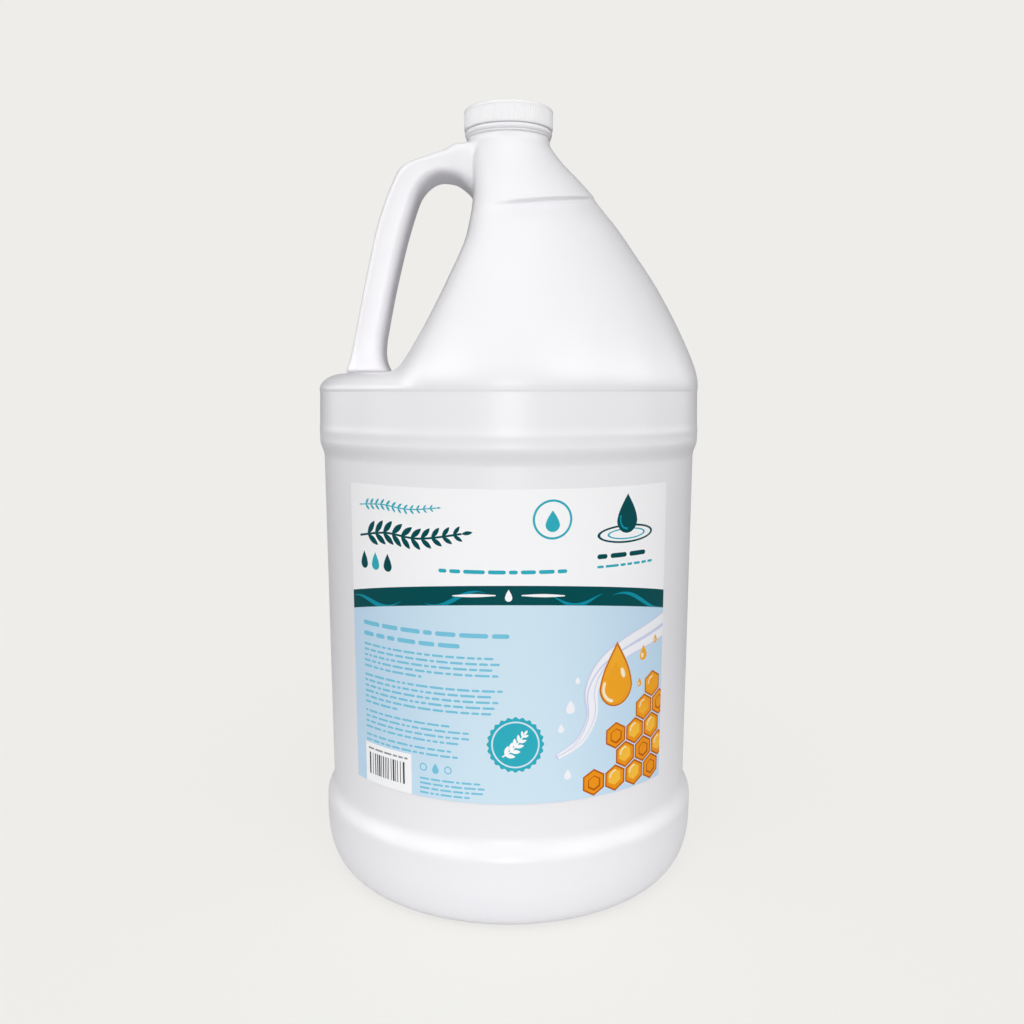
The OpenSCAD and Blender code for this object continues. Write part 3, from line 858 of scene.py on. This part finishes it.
INKS = {
    "white": ink_film("white", (0.96, 0.96, 0.972)),
    "sky": ink_film("sky", (0.63, 0.79, 0.895), ("X", 5, 58, (0.55, 0.73, 0.89))),
    "deep": ink_film("deep", (0.0, 0.072, 0.081)),
    "teal": ink_film("teal", (0.03, 0.42, 0.52)),
    "line": ink_film("line", (0.19, 0.56, 0.74)),
    "wave": ink_film("wave", (0.004, 0.27, 0.37)),
    "grey": ink_film("grey", (0.3, 0.3, 0.33)),
    "ink": ink_film("ink", (0.06, 0.06, 0.08)),
    "amber": ink_film("amber", (0.86, 0.3, 0.01), ("Z", 60, 122, (0.93, 0.47, 0.035))),
    "amber_dark": ink_film("amber_dark", (0.5, 0.1, 0.004), ("Z", 60, 120, (0.62, 0.19, 0.008))),
    "amber_light": ink_film("amber_light", (0.95, 0.52, 0.05), ("Z", 70, 84, (0.9, 0.38, 0.02))),
    "glint": ink_film("glint", (0.95, 0.85, 0.62)),
    "cream": ink_film("cream", (0.9, 0.905, 0.95)),
    "cream_shade": ink_film("cream_shade", (0.62, 0.66, 0.84)),
}

flat, triangles, inks = flat_print()
# Border of the label, along its foot and back along its head, from which its edge goes down to the jug
lower = np.linspace(-HALF, HALF, 62)
rim = np.array([[u, 0] for u in lower] + [[u, LABEL_H] for u in np.linspace(HALF, -HALF, 62)])
outer, inner = wrapped(rim, LABEL_T), wrapped(rim, LABEL_GAP)
count, edge = len(flat), len(rim)
points = np.vstack([wrapped(flat, LABEL_T), outer, inner]) * MM
faces = [list(t) for t in triangles]
for k in range(edge):
    after = (k + 1) % edge
    faces.append([count + k, count + edge + k, count + edge + after, count + after])
mesh = bpy.data.meshes.new("label_print")
mesh.from_pydata(points.tolist(), [], faces)
names = list(INKS)
for name in names:
    mesh.materials.append(INKS[name])
index = [names.index(k) for k in inks] + [names.index("white")] * edge
mesh.polygons.foreach_set("material_index", index)
mesh.shade_smooth()
normals = points / np.linalg.norm(points[:, :2], axis=1, keepdims=True)
normals[:, 2] = 0
mesh.normals_split_custom_set_from_vertices(normals.tolist())
label_piece = placed("label_print", mesh)
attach(label_piece, "jug_body")
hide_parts("label")

# ---------------------------------------------------------------- floor, light and camera
SENSOR_MM = 36
FRAME_PX = 1024
FOCAL_PX = 967.427
CENTRE_X_PX = 508.6
CAMERA_M = (0, -0.39831, 0.1942)
PITCH_DOWN = 0.126
BACKDROP = (0.855, 0.847, 0.823)

FLOOR_HALF_M = 6.0
# Lamps: power, direction round the jug from the front, height above the floor and spread, in degrees
SUNS = {"over": (0.24, 0, 86, 40), "top": (0.28, 0, 52, 40), "front": (0.55, 0, 4, 14)}
# Lamps that show only as glints, on edges that lean back: the heel's top, the ledge and the crease
GLINTS = {"front_left": (0.8, -44, 30, 35), "left": (0.9, -82, 20, 35), "back_left": (0.6, -117, 8, 35),
          "front_right": (0.65, 44, 30, 35), "right": (0.7, 82, 20, 35), "back_right": (0.4, 117, 8, 35)}
# The room's light is full in front and nothing behind
SKY_FRONT = 1.2
# Share of the floor's paleness to the camera that comes from the light on it
FLOOR_SHARE = 0.18
# White of the table near the jug and of the room's floor beyond, and the distances where it changes
FLOOR_BOUNCE, FLOOR_SPAN_M = (0.8, 0.42), (0.14, 0.36)
# Light that falls on the open floor, as the brightness of white paper there
on_floor = SKY_FRONT / 2 + sum(
    power * math.sin(math.radians(rise)) / math.pi for power, _, rise, _ in SUNS.values())


def shown_to_camera(nodes, links, plain, seen, output):
    """Gives camera rays one shader and all other rays the plain one."""
    path = nodes.new("ShaderNodeLightPath")
    chosen = nodes.new("ShaderNodeMixShader")
    links.new(path.outputs["Is Camera Ray"], chosen.inputs[0])
    links.new(plain.outputs[0], chosen.inputs[1])
    links.new(seen.outputs[0], chosen.inputs[2])
    links.new(chosen.outputs[0], nodes[output].inputs["Surface"])


floor_mesh = bpy.data.meshes.new("floor")
corners = [(x * FLOOR_HALF_M, y * FLOOR_HALF_M, 0) for x, y in ((-1, -1), (1, -1), (1, 1), (-1, 1))]
floor_mesh.from_pydata(corners, [], [(0, 1, 2, 3)])
floor = placed("floor", floor_mesh)
# To the camera the floor is as pale as the backdrop, with part of that from the light that falls on
# it, so the jug's shadow shows; to the jug it is a duller paper.
paper, nodes, links = material("floor_paper")
shader = nodes["Principled BSDF"]
place = nodes.new("ShaderNodeTexCoord")
far = nodes.new("ShaderNodeVectorMath")
far.operation = "LENGTH"
links.new(place.outputs["Object"], far.inputs[0])
white = nodes.new("ShaderNodeMapRange")
white.interpolation_type = "SMOOTHSTEP"
for name, value in zip(("From Min", "From Max", "To Min", "To Max"), FLOOR_SPAN_M + FLOOR_BOUNCE):
    white.inputs[name].default_value = value
links.new(far.outputs["Value"], white.inputs["Value"])
links.new(white.outputs["Result"], shader.inputs["Base Color"])
shader.inputs["Roughness"].default_value = 0.9
shader.inputs["Specular IOR Level"].default_value = 0
lit = nodes.new("ShaderNodeBsdfDiffuse")
lit.inputs["Color"].default_value = (*(FLOOR_SHARE * c / on_floor for c in BACKDROP), 1)
glow = nodes.new("ShaderNodeEmission")
glow.inputs["Color"].default_value = (*BACKDROP, 1)
glow.inputs["Strength"].default_value = 1 - FLOOR_SHARE
seen = nodes.new("ShaderNodeAddShader")
links.new(lit.outputs[0], seen.inputs[0])
links.new(glow.outputs[0], seen.inputs[1])
shown_to_camera(nodes, links, shader, seen, "Material Output")
floor_mesh.materials.append(paper)
floor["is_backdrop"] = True

for name, (power, azimuth, rise, spread) in {**SUNS, **GLINTS}.items():
    lamp = bpy.data.lights.new(name, "SUN")
    lamp.energy = power
    lamp.angle = math.radians(spread)
    made = placed(name, lamp)
    made.rotation_euler = (math.radians(90 - rise), 0, math.radians(azimuth))
    made.visible_diffuse = name in SUNS

world = bpy.data.worlds.new("studio")
world.use_nodes = True
nodes, links = world.node_tree.nodes, world.node_tree.links
nodes["Background"].inputs["Color"].default_value = (1, 1, 1, 1)
way = nodes.new("ShaderNodeTexCoord")
# Half the light, more towards the front and as much less towards the back
frontward = nodes.new("ShaderNodeVectorMath")
frontward.operation = "DOT_PRODUCT"
frontward.inputs[1].default_value = (0, -SKY_FRONT / 2, 0)
links.new(way.outputs["Generated"], frontward.inputs[0])
strength = nodes.new("ShaderNodeMath")
strength.operation = "ADD"
strength.inputs[1].default_value = SKY_FRONT / 2
links.new(frontward.outputs["Value"], strength.inputs[0])
links.new(strength.outputs[0], nodes["Background"].inputs["Strength"])
seen = nodes.new("ShaderNodeBackground")
seen.inputs["Color"].default_value = (*BACKDROP, 1)
shown_to_camera(nodes, links, nodes["Background"], seen, "World Output")
bpy.context.scene.world = world
bpy.context.scene.view_settings.view_transform = "Standard"

cam = placed("camera", bpy.data.cameras.new("camera"))
cam.data.sensor_width = SENSOR_MM
cam.data.lens = FOCAL_PX * SENSOR_MM / FRAME_PX
cam.data.shift_x = (FRAME_PX / 2 - CENTRE_X_PX) / FRAME_PX
cam.data.clip_start = 0.01
cam.location = CAMERA_M
cam.rotation_euler = (math.pi / 2 - PITCH_DOWN, 0, 0)
bpy.context.scene.camera = cam

low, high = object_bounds()
